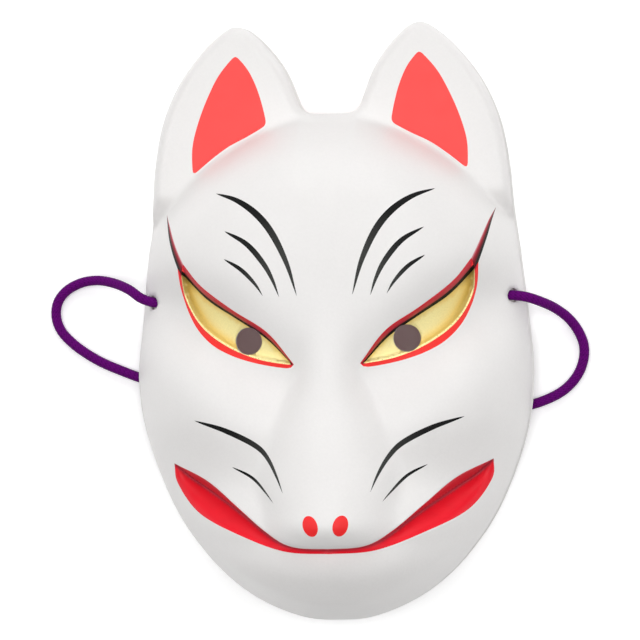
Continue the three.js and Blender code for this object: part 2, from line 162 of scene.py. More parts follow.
# The elastic's route in millimetres, from the left hole to the right one
CORD_ROUTE = [
    (-79.5, 11.4, 17.7), (-85.2, 15.2, 14.8), (-92.6, 18.2, 9.2), (-100.9, 19.6, 4.6),
    (-108.2, 18.6, 2.6), (-114.5, 15.2, 2.2), (-118.1, 10.4, 2.15), (-118.8, 4.3, 2.15),
    (-116.8, -1.4, 2.15), (-111.9, -6.9, 2.15), (-105.8, -11.5, 2.15), (-99.7, -15.1, 2.15),
    (-91.4, -18.8, 2.15), (-82, -22.4, 2.15), (-66, -26.8, 2.15), (-44, -30.6, 2.15),
    (-22, -33.2, 2.15), (0, -35, 2.15), (22, -36.4, 2.15), (44, -37.4, 2.15),
    (62, -37.8, 2.15), (76, -37.2, 2.15), (86.4, -34.7, 2.15), (95, -30.4, 2.15),
    (100.6, -24.6, 2.15), (103.4, -18.2, 2.15), (103.8, -12, 2.15), (101.8, -6.2, 2.4),
    (97.8, -0.6, 4.2), (92.2, 3.8, 8.4), (86.4, 6.6, 14.2), (80.4, 8.7, 17.3),
]


# Sizes and colours that a user would change

def length_setting(name, description, default):
    return bpy.props.FloatProperty(
        name=name, description=description, default=default * MM, unit="LENGTH", precision=5
    )


def colour_setting(name, description, default):
    return bpy.props.FloatVectorProperty(
        name=name, description=description, default=default, subtype="COLOR", size=3, min=0, max=1
    )


class ShellSettings(bpy.types.PropertyGroup):
    wall: length_setting("Wall", "Thickness of the moulded wall", 1.8)
    lid_height: length_setting("Lid height", "How far the upper lid stands above the gilding", 5)
    mouth_depth: length_setting("Mouth depth", "How deep the fold of the mouth is", 9)
    pupil_diameter: length_setting("Pupil", "Diameter of the holes to see through", 11)
    broad_step: length_setting("Mesh step", "Distance between points on the plain parts", 1.7)
    fine_step: length_setting("Fine mesh step", "Distance between points at the eyes and the mouth", 0.85)


class PaintSettings(bpy.types.PropertyGroup):
    plastic: colour_setting("Plastic", "Colour of the white shell", (0.8, 0.785, 0.775))
    coral: colour_setting("Coral", "Colour of the ears", (1, 0.07, 0.065))
    rim_red: colour_setting("Rim red", "Colour of the rims under the eyes", (0.93, 0.035, 0.03))
    mouth_red: colour_setting("Mouth red", "Colour of the mouth", (0.85, 0.01, 0.025))
    # Dull red and deep red are painted shade under the lids, on the upper lip's wall and in the fold of the
    # mouth, and in the tails behind the eyes they are the tails' own paint
    dull_red_and_shade: colour_setting("Dull red", "Colour under the lids and the upper lip", (0.46, 0.025, 0.045))
    deep_red_and_shade: colour_setting("Deep red", "Colour of the red in the folds", (0.2, 0, 0.008))
    # Pale, middle and old gold together paint reflection and shade on the gilding; the pale gold is also the
    # painted highlight on the bevel at its foot
    highlight_gold: colour_setting("Pale gold", "Colour of the gilding where it is brightest", (1, 0.88, 0.4))
    gold: colour_setting("Gold", "Colour of the gilding", (0.86, 0.6, 0.14))
    shaded_gold: colour_setting("Old gold", "Colour of the gilding where it is darkest", (0.36, 0.24, 0.045))
    ink: colour_setting("Ink", "Colour of the brush strokes", (0.006, 0.006, 0.006))
    thin_ink: colour_setting("Thin ink", "Colour where a stroke runs dry", (0.045, 0.045, 0.042))
    pale_pink: colour_setting("Pale pink", "Colour at the inner edge of the eyes' tails", (0.75, 0.36, 0.4))


class CordSettings(bpy.types.PropertyGroup):
    diameter: length_setting("Diameter", "Thickness of the elastic cord", 4.2)
    relief: length_setting("Relief", "Depth of the braid", 0.12)
    colour: colour_setting("Colour", "Colour of the elastic", (0.115, 0.0003, 0.15))


class StageSettings(bpy.types.PropertyGroup):
    camera_distance: bpy.props.FloatProperty(
        name="Camera distance", description="From the camera to the mask", default=0.95, unit="LENGTH"
    )
    camera_yaw: bpy.props.FloatProperty(
        name="Camera yaw", description="How far the camera stands to the right",
        default=math.radians(4.45), subtype="ANGLE",
    )
    camera_roll: bpy.props.FloatProperty(
        name="Camera roll", description="How far the picture is turned",
        default=math.radians(1.16), subtype="ANGLE",
    )
    lamp_power: bpy.props.FloatProperty(name="Lamps", description="Power of the four soft lamps", default=14)
    sky: bpy.props.FloatProperty(name="Sky", description="Strength of the light all round", default=0.05)


# Plain functions of numbers

def soft_min(a, b, blend):
    near = np.maximum(blend - np.abs(a - b), 0) / blend
    return np.minimum(a, b) - near * near * blend / 4


def soft_max(a, b, blend):
    return -soft_min(-a, -b, blend)


def share_between(first, second):
    """How far from one line towards another, by the distances to both."""
    return first / np.maximum(first + second, TINY)


def fade(value, start, end):
    t = np.clip((value - start) / (end - start), 0, 1)
    return t * t * (3 - 2 * t)


def profile(stations, at):
    """A smooth curve through stations of place and height."""
    x, y = np.array(stations, float).T
    slope = np.gradient(y)
    slope[1:-1] = (y[2:] - y[:-2]) / (x[2:] - x[:-2])
    slope[0] = (y[1] - y[0]) / (x[1] - x[0])
    slope[-1] = (y[-1] - y[-2]) / (x[-1] - x[-2])
    t = np.clip(at, x[0], x[-1])
    i = np.clip(np.searchsorted(x, t) - 1, 0, len(x) - 2)
    span = x[i + 1] - x[i]
    s = (t - x[i]) / span
    rise = y[i + 1] - y[i]
    m0 = slope[i] * span
    m1 = slope[i + 1] * span
    return y[i] + s * (m0 + s * (3 * rise - 2 * m0 - m1 + s * (m0 + m1 - 2 * rise)))


def along(points, steps, closed=False):
    """Points spaced evenly along a line of points."""
    line = np.vstack([points, points[:1]]) if closed else points
    travelled = np.concatenate([[0], np.cumsum(np.linalg.norm(np.diff(line, axis=0), axis=1))])
    at = np.linspace(0, travelled[-1], steps + 1)[: steps if closed else steps + 1]
    return np.stack([np.interp(at, travelled, axis) for axis in line.T], axis=1)


CURVE_FINENESS = 24


def smooth(points, steps, closed=False, power=0.0):
    """Evenly spaced points on a Catmull-Rom curve; a power of 0.5 makes it centripetal."""
    p = np.array(points, float)
    if closed:
        p = np.vstack([p[-1:], p, p[:2]])
    else:
        p = np.vstack([2 * p[:1] - p[1:2], p, 2 * p[-1:] - p[-2:-1]])
    t = (np.arange(CURVE_FINENESS) / CURVE_FINENESS)[:, None]
    pieces = []
    for a, b, c, d in zip(p, p[1:], p[2:], p[3:]):
        ab, bc, cd = [np.linalg.norm(v) ** power for v in (b - a, c - b, d - c)]
        m0 = bc * ((b - a) / ab - (c - a) / (ab + bc) + (c - b) / bc)
        m1 = bc * ((c - b) / bc - (d - b) / (bc + cd) + (d - c) / cd)
        rise = c - b
        pieces.append(b + t * (m0 + t * (3 * rise - 2 * m0 - m1 + t * (m0 + m1 - 2 * rise))))
    dense = np.vstack(pieces)
    return along(dense if closed else np.vstack([dense, p[-2:-1]]), steps, closed)


def place(points):
    return np.array(points, float) * (HALF_WIDTH / 100, HALF_HEIGHT / 100)


def mirrored(points):
    return points * (-1, 1)


def unit(vectors):
    return vectors / np.linalg.norm(vectors, axis=1)[:, None]


def turn(steps):
    """Angles evenly round one full turn."""
    return np.linspace(0, 2 * math.pi, steps, endpoint=False)


def inset(loop, distance):
    """The same loop, moved inwards by a distance."""
    ahead = unit(np.roll(loop, -1, axis=0) - np.roll(loop, 1, axis=0))
    return loop + distance * np.stack([-ahead[:, 1], ahead[:, 0]], axis=1)


def distance_to(points, line, closed=False):
    """Distance from each point to a line, and where on the line it is nearest, from 0 to 1."""
    a = line if closed else line[:-1]
    b = np.roll(line, -1, axis=0) if closed else line[1:]
    step = b - a
    nearest = np.full(len(points), np.inf)
    where = np.zeros(len(points))
    for i in range(len(a)):
        off = points - a[i]
        t = np.clip(off @ step[i] / (step[i] @ step[i]), 0, 1)
        away = np.hypot(off[:, 0] - t * step[i][0], off[:, 1] - t * step[i][1])
        closer = away < nearest
        nearest[closer] = away[closer]
        where[closer] = (i + t[closer]) / len(a)
    return nearest, where


def within(points, loop):
    """Whether each point lies in a closed loop."""
    result = np.zeros(len(points), bool)
    low, high = loop.min(axis=0), loop.max(axis=0)
    near = np.all((points >= low) & (points <= high), axis=1)
    x, y = points[near].T
    inside = np.zeros(len(x), bool)
    for (x0, y0), (x1, y1) in zip(loop, np.roll(loop, -1, axis=0)):
        if y0 != y1:
            crosses = (y0 > y) != (y1 > y)
            inside ^= crosses & (x < x0 + (y - y0) * (x1 - x0) / (y1 - y0))
    result[near] = inside
    return result


# The form of the face, in millimetres

def whole_outline():
    right = place(OUTLINE)
    left = mirrored(right[1:-1][::-1])
    half = smooth(np.vstack([right, left]), 2 * OUTLINE_STEPS, closed=True)[: OUTLINE_STEPS + 1]
    half[:, 0] *= HALF_WIDTH / half[:, 0].max()
    half[:, 1] = (half[:, 1] + HALF_HEIGHT) * 2 * HALF_HEIGHT / (half[:, 1].max() + HALF_HEIGHT) - HALF_HEIGHT
    half[[0, -1], 0] = 0
    return np.vstack([half, mirrored(half[1:-1][::-1])])


EDGE = whole_outline()
WALL_EDGE = inset(EDGE, FLANGE_WIDTH)
RIGHT_EDGE = EDGE[: OUTLINE_STEPS + 1] / (HALF_WIDTH, HALF_HEIGHT)
SPOKE_ANGLE = np.arctan2(RIGHT_EDGE[:, 1], RIGHT_EDGE[:, 0])
SPOKE_REACH = np.hypot(RIGHT_EDGE[:, 0], RIGHT_EDGE[:, 1])


def dome(p):
    """The rounded head, cheeks and jaw, with the hollows that the eyes lie in."""
    u, v = p[:, 0] / HALF_WIDTH, p[:, 1] / HALF_HEIGHT
    outline_share = np.hypot(u, v) / np.interp(np.arctan2(v, u), SPOKE_ANGLE, SPOKE_REACH)
    upper = np.maximum(v, 0) / HEAD_TOP
    head_share = ((u / HEAD_HALF_WIDTH) ** HEAD_POWER + upper ** HEAD_POWER) ** (1 / HEAD_POWER)
    out = soft_max(outline_share, head_share, HEAD_BLEND)
    inner, outer = place([SOCKET_INNER, SOCKET_OUTER])
    t = np.clip((p - inner) @ (outer - inner) / ((outer - inner) @ (outer - inner)), 0, 1)
    away = np.linalg.norm(p - inner - t[:, None] * (outer - inner), axis=1) / SOCKET_REACH
    socket = SOCKET_INNER_DEPTH + t * (SOCKET_OUTER_DEPTH - SOCKET_INNER_DEPTH)
    crown = profile(CROWN_HEIGHTS, v) * (1 - out ** profile(DOME_POWERS, v))
    return SIDE_WALL + DEPTH * (crown - socket * np.exp(-away * away))


def muzzle(p):
    u, v = p[:, 0] / HALF_WIDTH, p[:, 1] / HALF_HEIGHT
    flank = MUZZLE_DROP * (u / profile(MUZZLE_WIDTHS, v)) ** MUZZLE_POWER
    return DEPTH * (profile(MUZZLE_HEIGHTS, v) - flank)


def folded(points):
    """The same points, all of them on the right half."""
    return np.column_stack([np.abs(points[:, 0]), points[:, 1]])


def face(points):
    """Height of the outer surface, before the eyes and the mouth are sunk into it."""
    p = folded(points)
    v = p[:, 1] / HALF_HEIGHT
    head = soft_max(dome(p), muzzle(p), MUZZLE_BLEND)
    ear = EAR_HEIGHT * fade(v, *EAR_START) + EAR_TIP_RISE * fade(v, *EAR_TIP)
    edge = SIDE_WALL + EDGE_SLOPE * distance_to(p, WALL_EDGE, closed=True)[0]
    return soft_min(soft_max(head, ear, EAR_BLEND), edge, EDGE_BLEND)


def rim(y):
    """The edge that the mask lies on, which arches up at each side over the cord."""
    t = np.clip(2 * (y - ARCH_PLACE) / ARCH_LENGTH, -1, 1)
    return ARCH_RISE * (1 - t * t) ** 2


def curve(points, steps=CURVE_STEPS, power=0.0):
    return smooth(place(points), steps, power=power)


def loop_of(first, second):
    """One loop from two curves with the same start and end."""
    return np.vstack([first, second[1:-1][::-1]])


LID, TOP, FOOT, RIM = [curve(c) for c in (LID_LINE, GOLD_TOP, GOLD_FOOT, RIM_FOOT)]
UPPER, LOWER, FOLD = [curve(c, MOUTH_STEPS) for c in (UPPER_LIP, LOWER_LIP, MOUTH_FOLD)]
TAIL_SIDES = [curve(c, TAIL_STEPS) for c in (TAIL_INNER, TAIL_OUTER)]

# The lower share of the band under the lid is black, partly ink and partly painted shade under the lid
INK_AND_SHADE_SHARE = 0.36
LID_INK_AND_SHADE = TOP + INK_AND_SHADE_SHARE * (LID - TOP)
GOLD_LOOP = loop_of(TOP, FOOT)
BAND_LOOP = np.vstack([LID, TOP[::-1]])
INK_AND_SHADE_LOOP = np.vstack([LID_INK_AND_SHADE, TOP[::-1]])
EYE_LOOP = np.vstack([LID, FOOT[::-1]])
RIM_LOOP = np.vstack([FOOT, RIM[::-1]])
TAIL_LOOP = np.vstack([TAIL_SIDES[0], FOOT[:1], TAIL_SIDES[1][:0:-1]])
UPPER_WALL_LOOP = np.vstack([UPPER, FOLD[:0:-1]])
FLOOR_LOOP = np.vstack([FOLD, LOWER[:0:-1]])

# The gilding lies this far below the lower lid, and rises to it in a narrow bevel
GOLD_SINK = 1.2
LID_REACH = 20
LID_POWER = 1.5
BEVEL = 0.8
BEVEL_POWER = 0.4
NARROWEST_BEVEL = 1e-3

# A box round the right eye in millimetres
EYE_AREA = np.array([(10, -25), (75, -25), (75, 35), (10, 35)])

# The mouth is at its full depth where the lips are this far apart, and its two walls curve like this
FULL_MOUTH = 12.5
CORNER_SHARE = 0.06
UPPER_WALL_POWER = 0.75
FLOOR_POWER = 1.25

# Points this close to a line, in millimetres, lie on it
ON_LINE = 1e-3
CLOSE_ON_LINE = 1e-4
TINY = 1e-6


def bevel_width(where):
    """Width of the bevel at the foot of the gilding, by the place along it."""
    return BEVEL * np.maximum(np.sin(math.pi * where), NARROWEST_BEVEL) ** BEVEL_POWER


def bevel_loop():
    across = inset(FOOT, 1) - FOOT
    across[[0, -1]] = 0
    where = np.linspace(0, 1, len(FOOT))
    return np.vstack([FOOT, (FOOT + across * bevel_width(where)[:, None])[1:-1][::-1]])


def sink_eye(p, z, lid_height):
    """Sinks the gilded eyeball under the lids."""
    near_eye = within(p, EYE_AREA)
    q, base = p[near_eye], z[near_eye]
    to_lid = distance_to(q, LID)[0]
    to_top = distance_to(q, TOP)[0]
    to_foot, where = distance_to(q, FOOT)
    under = np.maximum(1 - to_lid / LID_REACH, 0)
    ball = base - GOLD_SINK - (lid_height - GOLD_SINK) * under ** LID_POWER
    ball += np.clip(1 - to_foot / bevel_width(where), 0, 1) * (base - ball)
    share = np.sin(math.pi / 2 * share_between(to_top, to_lid))
    in_gold = within(q, GOLD_LOOP) | (to_top < CLOSE_ON_LINE)
    in_band = within(q, BAND_LOOP) & ~in_gold
    on_lid = to_lid < CLOSE_ON_LINE
    height = base.copy()
    height[in_gold] = ball[in_gold]
    height[in_band] = (ball + share * (base - ball))[in_band]
    height[on_lid] = base[on_lid]
    result = z.copy()
    result[near_eye] = height
    return result


def mouth_drop(mouth_depth):
    """Depth of the fold along its length."""
    gap = np.linalg.norm(UPPER - LOWER, axis=1)
    return mouth_depth * np.clip(gap / FULL_MOUTH, CORNER_SHARE, 1)


def sink_mouth(p, z, mouth_depth):
    """Sinks the mouth from both lips down to its fold."""
    result = z.copy()
    fold_height = face(FOLD) - mouth_drop(mouth_depth)
    to_fold, where = distance_to(p, FOLD)
    low = np.interp(where, np.linspace(0, 1, len(FOLD)), fold_height)
    for loop, lip, power in (
        (UPPER_WALL_LOOP, UPPER, UPPER_WALL_POWER), (FLOOR_LOOP, LOWER, FLOOR_POWER),
    ):
        to_lip = distance_to(p, lip)[0]
        chosen = (within(p, loop) | (to_fold < CLOSE_ON_LINE)) & (to_lip > CLOSE_ON_LINE)
        share = share_between(to_fold, to_lip) ** power
        result[chosen] = (low + share * (z - low))[chosen]
    return result


def surface(points, settings):
    """Height of the finished outer surface."""
    p = folded(points)
    z = sink_eye(p, face(p), settings.lid_height / MM)
    return sink_mouth(p, z, settings.mouth_depth / MM)


# The mesh of the shell, with its reaches and steps in millimetres

RING_STEPS = 36
HOLE_STEPS = 32
HOLE_SEARCH = 12
HALVINGS = 30
POINTS_PER_CORNER = 3
FINE_REACH = 2.5
BROAD_CLEARANCE = 0.5
FINE_CLEARANCE = 0.45
SLOPE_STEP = 0.4
STEEPEST = 3.5
EDGE_REACH = 12
INNER_SMOOTHINGS = 6
RIM_ROUNDING = 0.3


def both_sides(loop):
    return [loop, mirrored(loop)[::-1]]


def ring(centre, width, length, lean=0.0):
    angle = turn(RING_STEPS)
    x, y = width / 2 * np.cos(angle), length / 2 * np.sin(angle)
    across = x * math.cos(lean) - y * math.sin(lean)
    upwards = x * math.sin(lean) + y * math.cos(lean)
    return centre + np.stack([across, upwards], axis=1)


def stroke_loop(points, half_width):
    """The outline of one brush stroke, pointed at both ends."""
    line = curve(points, power=0.5)
    ahead = unit(np.gradient(line, axis=0))
    t = np.linspace(0, 1, len(line))
    swell = half_width * np.sin(math.pi * t ** 0.85) ** 0.8
    side = np.stack([-ahead[:, 1], ahead[:, 0]], axis=1) * swell[:, None]
    return np.vstack([line + side, (line - side)[1:-1][::-1]])


def cord_hole_loop():
    """Where the round hole for the cord meets the surface."""
    x, y = place([CORD_HOLE])[0]
    angle = turn(HOLE_STEPS)
    up = CORD_HOLE_HEIGHT + CORD_HOLE_DIAMETER / 2 * np.sin(angle)
    across = y + CORD_HOLE_DIAMETER / 2 * np.cos(angle)
    low, high = np.full(HOLE_STEPS, x - HOLE_SEARCH), np.full(HOLE_STEPS, HALF_WIDTH)
    for _ in range(HALVINGS):
        middle = (low + high) / 2
        inside = face(np.stack([middle, across], axis=1)) > up
        low, high = np.where(inside, middle, low), np.where(inside, high, middle)
    return np.stack([low, across], axis=1)


NOSTRIL_WIDTH = 5.9
NOSTRIL_LENGTH = 8.4
NOSTRIL_LEAN = math.radians(-17)


def soften(loop, times):
    """Rounds the corners of a loop a little."""
    for _ in range(times):
        loop = 0.25 * np.roll(loop, 1, axis=0) + 0.5 * loop + 0.25 * np.roll(loop, -1, axis=0)
    return loop


def paint_loops():
    """Every painted shape on the right half, by the name of its paint."""
    ear = soften(np.vstack([curve(EAR_OUTER, 40), curve(EAR_BASE, 32), curve(EAR_INNER, 30)]), 3)
    nostril = ring(place([NOSTRIL_PLACE])[0], NOSTRIL_WIDTH, NOSTRIL_LENGTH, NOSTRIL_LEAN)
    loops = [("red", ear), ("red", nostril), ("red", RIM_LOOP), ("red", BAND_LOOP), ("ink", INK_AND_SHADE_LOOP)]
    loops += [("tail", TAIL_LOOP), ("gold", GOLD_LOOP), ("edge", bevel_loop())]
    loops += [("red", UPPER_WALL_LOOP), ("red", FLOOR_LOOP)]
    loops += [("ink", stroke_loop(points, width)) for points, width in STROKES.values()]
    return loops


def grid(step, loop):
    """Points of a triangular grid in a loop, mirrored about the middle."""
    low, high = loop.min(axis=0), loop.max(axis=0)
    rise = step * math.sqrt(3) / 2
    points = []
    for k, y in enumerate(np.arange(low[1], high[1], rise)):
        x = np.arange(step / 2 * (k % 2), high[0], step)
        points.append(np.stack([x, np.full(len(x), y)], axis=1))
        points.append(np.stack([-x[x > 0], np.full(len(x[x > 0]), y)], axis=1))
    points = np.vstack(points)
    return points[within(points, loop)]


def nearest(points, targets):
    """For each point, the number of the nearest target and its distance."""
    tree = KDTree(len(targets))
    for i, (x, y) in enumerate(targets):
        tree.insert((x, y, 0), i)
    tree.balance()
    found = [tree.find((x, y, 0)) for x, y in points]
    return [i for _, i, _ in found], np.array([away for *_, away in found])


def sheet_points(settings, lines):
    """The points of a grid clear of the lines, finer near the eyes and the mouth."""
    broad, fine = settings.broad_step / MM, settings.fine_step / MM
    on_lines = np.vstack([along(line, POINTS_PER_CORNER * len(line), closed=True) for line in lines])
    coarse = grid(broad, WALL_EDGE)
    delicate = grid(fine, WALL_EDGE)
    features = np.vstack([np.vstack(both_sides(loop)) for loop in (EYE_LOOP, UPPER_WALL_LOOP, FLOOR_LOOP)])
    coarse = coarse[nearest(coarse, features)[1] > FINE_REACH]
    delicate = delicate[nearest(delicate, features)[1] <= FINE_REACH]
    coarse = coarse[nearest(coarse, on_lines)[1] > BROAD_CLEARANCE * broad]
    delicate = delicate[nearest(delicate, on_lines)[1] > FINE_CLEARANCE * fine]
    return np.vstack([coarse, delicate])


def face_sheet(settings):
    """Triangles over the whole face, cut along every painted edge, with the paint of each."""
    paints = [(name, side) for name, loop in paint_loops() for side in both_sides(loop)]
    pupil = ring(place([PUPIL_PLACE])[0], *[settings.pupil_diameter / MM] * 2)
    holes = both_sides(pupil) + both_sides(cord_hole_loop())
    lines = [WALL_EDGE, *holes, *[loop for _, loop in paints]]
    points = [tuple(p) for line in lines for p in line]
    edges = []
    start = 0
    for line in lines:
        edges += [(start + i, start + (i + 1) % len(line)) for i in range(len(line))]
        start += len(line)
    points += [tuple(p) for p in sheet_points(settings, lines)]
    found, _, triangles, *_ = delaunay_2d_cdt(points, edges, [], 0, CLOSE_ON_LINE)
    xy = np.array([tuple(p) for p in found])
    triangles = np.array([t for t in triangles if len(t) == 3])
    centres = xy[triangles].mean(axis=1)
    kept = within(centres, WALL_EDGE)
    for hole in holes:
        kept &= ~within(centres, hole)
    triangles, centres = triangles[kept], centres[kept]
    paint = np.array(["white"] * len(triangles), dtype="<U8")
    for name, loop in paints:
        paint[within(centres, loop)] = name
    used, triangles = np.unique(triangles, return_inverse=True)
    return xy[used], triangles.reshape(-1, 3), paint


def directed_edges(triangles):
    return triangles[:, [0, 1, 2]].ravel(), triangles[:, [1, 2, 0]].ravel()


def inner_sheet(xy, triangles, settings):
    """The inner side, one wall behind the outer one, as smooth as the mould leaves it."""
    wall = settings.wall / MM
    to_edge = distance_to(xy, WALL_EDGE, closed=True)[0]
    steps = ((SLOPE_STEP, 0), (0, SLOPE_STEP))
    inwards = np.stack([
        distance_to(xy + step, WALL_EDGE, closed=True)[0] - distance_to(xy - step, WALL_EDGE, closed=True)[0]
        for step in steps
    ], axis=1)
    on_edge = to_edge < ON_LINE
    corners, _ = nearest(xy[on_edge], WALL_EDGE)
    inwards[on_edge] = inset(WALL_EDGE, 1)[corners] - WALL_EDGE[corners]
    inwards /= np.maximum(np.linalg.norm(inwards, axis=1), TINY)[:, None]
    moved = xy + inwards * (wall * np.clip(1 - to_edge / EDGE_REACH, 0, 1))[:, None]
    slope_x, slope_y = [
        (surface(moved + step, settings) - surface(moved - step, settings)) / (2 * SLOPE_STEP)
        for step in steps
    ]
    steep = np.minimum(np.sqrt(1 + slope_x ** 2 + slope_y ** 2), STEEPEST)
    z = surface(moved, settings) - wall * steep
    count = len(xy)
    starts, ends = directed_edges(triangles)
    degree = np.bincount(starts, minlength=count) + np.bincount(ends, minlength=count)
    for _ in range(INNER_SMOOTHINGS):
        total = np.bincount(starts, z[ends], count) + np.bincount(ends, z[starts], count)
        z = np.minimum(z, 0.5 * z + 0.5 * total / degree)
    return moved, z


def boundary_edges(triangles, count):
    """Directed edges that only one triangle has."""
    starts, ends = directed_edges(triangles)
    forward = starts * count + ends
    backward = ends * count + starts
    alone = ~np.isin(forward, backward)
    return np.stack([starts[alone], ends[alone]], axis=1)


OUTSIDE_RINGS = 11
INNER_EDGE_DROP = 3


def side_rings(xy, top, wall):
    """Points down the outside of the wall, round the flange and up the inside, for the outline."""
    outward = (WALL_EDGE - inset(WALL_EDGE, 1))[nearest(xy, WALL_EDGE)[0]]
    low = rim(xy[:, 1])
    shelf = low + FLANGE_THICKNESS
    rings = [(0, top + (shelf + RIM_ROUNDING - top) * share) for share in (0.12, 0.3, 0.5, 0.7, 0.88, 1)]
    rings += [
        (RIM_ROUNDING, shelf), (FLANGE_WIDTH - RIM_ROUNDING, shelf), (FLANGE_WIDTH, shelf - RIM_ROUNDING),
        (FLANGE_WIDTH, low + RIM_ROUNDING), (FLANGE_WIDTH - RIM_ROUNDING, low),
        (RIM_ROUNDING - wall, low), (-wall, low + RIM_ROUNDING),
    ]
    inner_height = top - INNER_EDGE_DROP - low
    rings += [(-wall, low + RIM_ROUNDING + inner_height * share) for share in (0.3, 0.6, 0.85)]
    return [np.column_stack([xy + outward * offset, z]) for offset, z in rings]


def build_mesh(name, points, faces, materials, material_of=None):
    mesh = bpy.data.meshes.new(name)
    mesh.from_pydata((np.asarray(points) * MM).tolist(), [], [tuple(f) for f in faces])
    for material in materials:
        mesh.materials.append(material)
    if material_of is not None:
        mesh.polygons.foreach_set("material_index", np.asarray(material_of, np.int32))
    mesh.polygons.foreach_set("use_smooth", np.full(len(mesh.polygons), True))
    mesh.validate()
    mesh.update()
    thing = bpy.data.objects.new(name, mesh)
    bpy.context.scene.collection.objects.link(thing)
    return thing


# Tones of the paints at points of the face, from 0 to 1, some of them painted shade and painted reflection

RIM_TONE = 0.2
NOSTRIL_TONE = 0.27
FLOOR_TONE = 0.4
# The upper lip's wall is painted a deeper red, as shade on a wall that faces down
UPPER_WALL_SHADE_TONE = 0.5
# The band under the upper lid is painted darker towards its foot, as shade under the lid
LID_SHADE_TONE = 0.78
LID_SHADE_LIFT = 0.3
LID_SHADE_POWER = 0.6
# The red along the fold of the mouth is painted darker, as shade in the crease
FOLD_SHADE_TONE = 0.58
FOLD_SHADE_DARKER = 0.08
FOLD_SHADE_WIDTH = 1.5
# The gilding is painted darker towards the temple as reflection, and along its foot and under the lid as
# shade
TEMPLE_SHADE = 0.28
FOOT_SHADE = 0.45
FOOT_WIDTH = 2.3
UNDER_LID_SHADE = 0.35
UNDER_LID_WIDTH = 1.1


def red_tone(p):
    """How deep the red is, from the coral of the ears to the folds; under the lids, on the upper lip's wall
    and along the fold it is deepened as painted shade.
    """
    to_lid, to_top, to_foot, to_rim = [distance_to(p, line)[0] for line in (LID, TOP, FOOT, RIM)]
    to_upper, to_fold, to_lower = [distance_to(p, line)[0] for line in (UPPER, FOLD, LOWER)]
    red = np.zeros(len(p))
    red[within(p, RIM_LOOP) | (to_rim < ON_LINE) | (to_foot < ON_LINE)] = RIM_TONE
    red[np.hypot(*(p - place([NOSTRIL_PLACE])[0]).T) < NOSTRIL_LENGTH] = NOSTRIL_TONE
    # Painted shade: the band under the lid darkens towards the gilding
    band = within(p, BAND_LOOP) | (to_top < ON_LINE) | (to_lid < ON_LINE)
    up = share_between(to_top, to_lid)
    red[band] = (LID_SHADE_TONE - LID_SHADE_LIFT * up ** LID_SHADE_POWER)[band]
    floor = within(p, FLOOR_LOOP) | (to_lower < ON_LINE)
    wall = within(p, UPPER_WALL_LOOP) | (to_upper < ON_LINE)
    red[floor] = FLOOR_TONE
    # Painted shade on the upper lip's wall, which faces down
    red[wall] = UPPER_WALL_SHADE_TONE
    mouth = floor | wall | (to_fold < ON_LINE)
    # Painted shade along the fold of the mouth
    fold_shade = FOLD_SHADE_TONE + FOLD_SHADE_DARKER * fade(p[:, 0], 8, 26)
    red[mouth] = np.maximum(red, fold_shade * np.exp(-(to_fold / FOLD_SHADE_WIDTH) ** 2))[mouth]
    return red


def gold_tone(p):
    """How dark the gold is: darker towards the temple as painted reflection, and along its foot and under the
    lid as painted shade.
    """
    to_top, to_foot = [distance_to(p, line)[0] for line in (TOP, FOOT)]
    outwards = p[:, 0] / HALF_WIDTH
    # Painted shade along the foot and under the lid, painted reflection towards the temple
    at_foot = np.exp(-((to_foot - BEVEL) / FOOT_WIDTH) ** 2) * fade(outwards, 0.3, 0.46)
    under_lid = np.exp(-(to_top / UNDER_LID_WIDTH) ** 2)
    gold_shade = TEMPLE_SHADE * fade(outwards, 0.48, 0.7) + FOOT_SHADE * at_foot + UNDER_LID_SHADE * under_lid
    return np.clip(gold_shade, 0, 1)


def ink_tone(p):
    """How far along its brush stroke each point is."""
    ink = np.zeros(len(p))
    for points, width in STROKES.values():
        away, where = distance_to(p, curve(points, power=0.5))
        near = away < 2 * width
        ink[near] = where[near]
    return ink


def tail_tone(p):
    """How far across the tail behind the eye, from its outer edge to its inner one."""
    to_inner, to_outer = [distance_to(p, side)[0] for side in TAIL_SIDES]
    return share_between(to_outer, to_inner)


TONES = {"red_tone": red_tone, "gold_tone": gold_tone, "ink_tone": ink_tone, "tail_tone": tail_tone}


# Materials

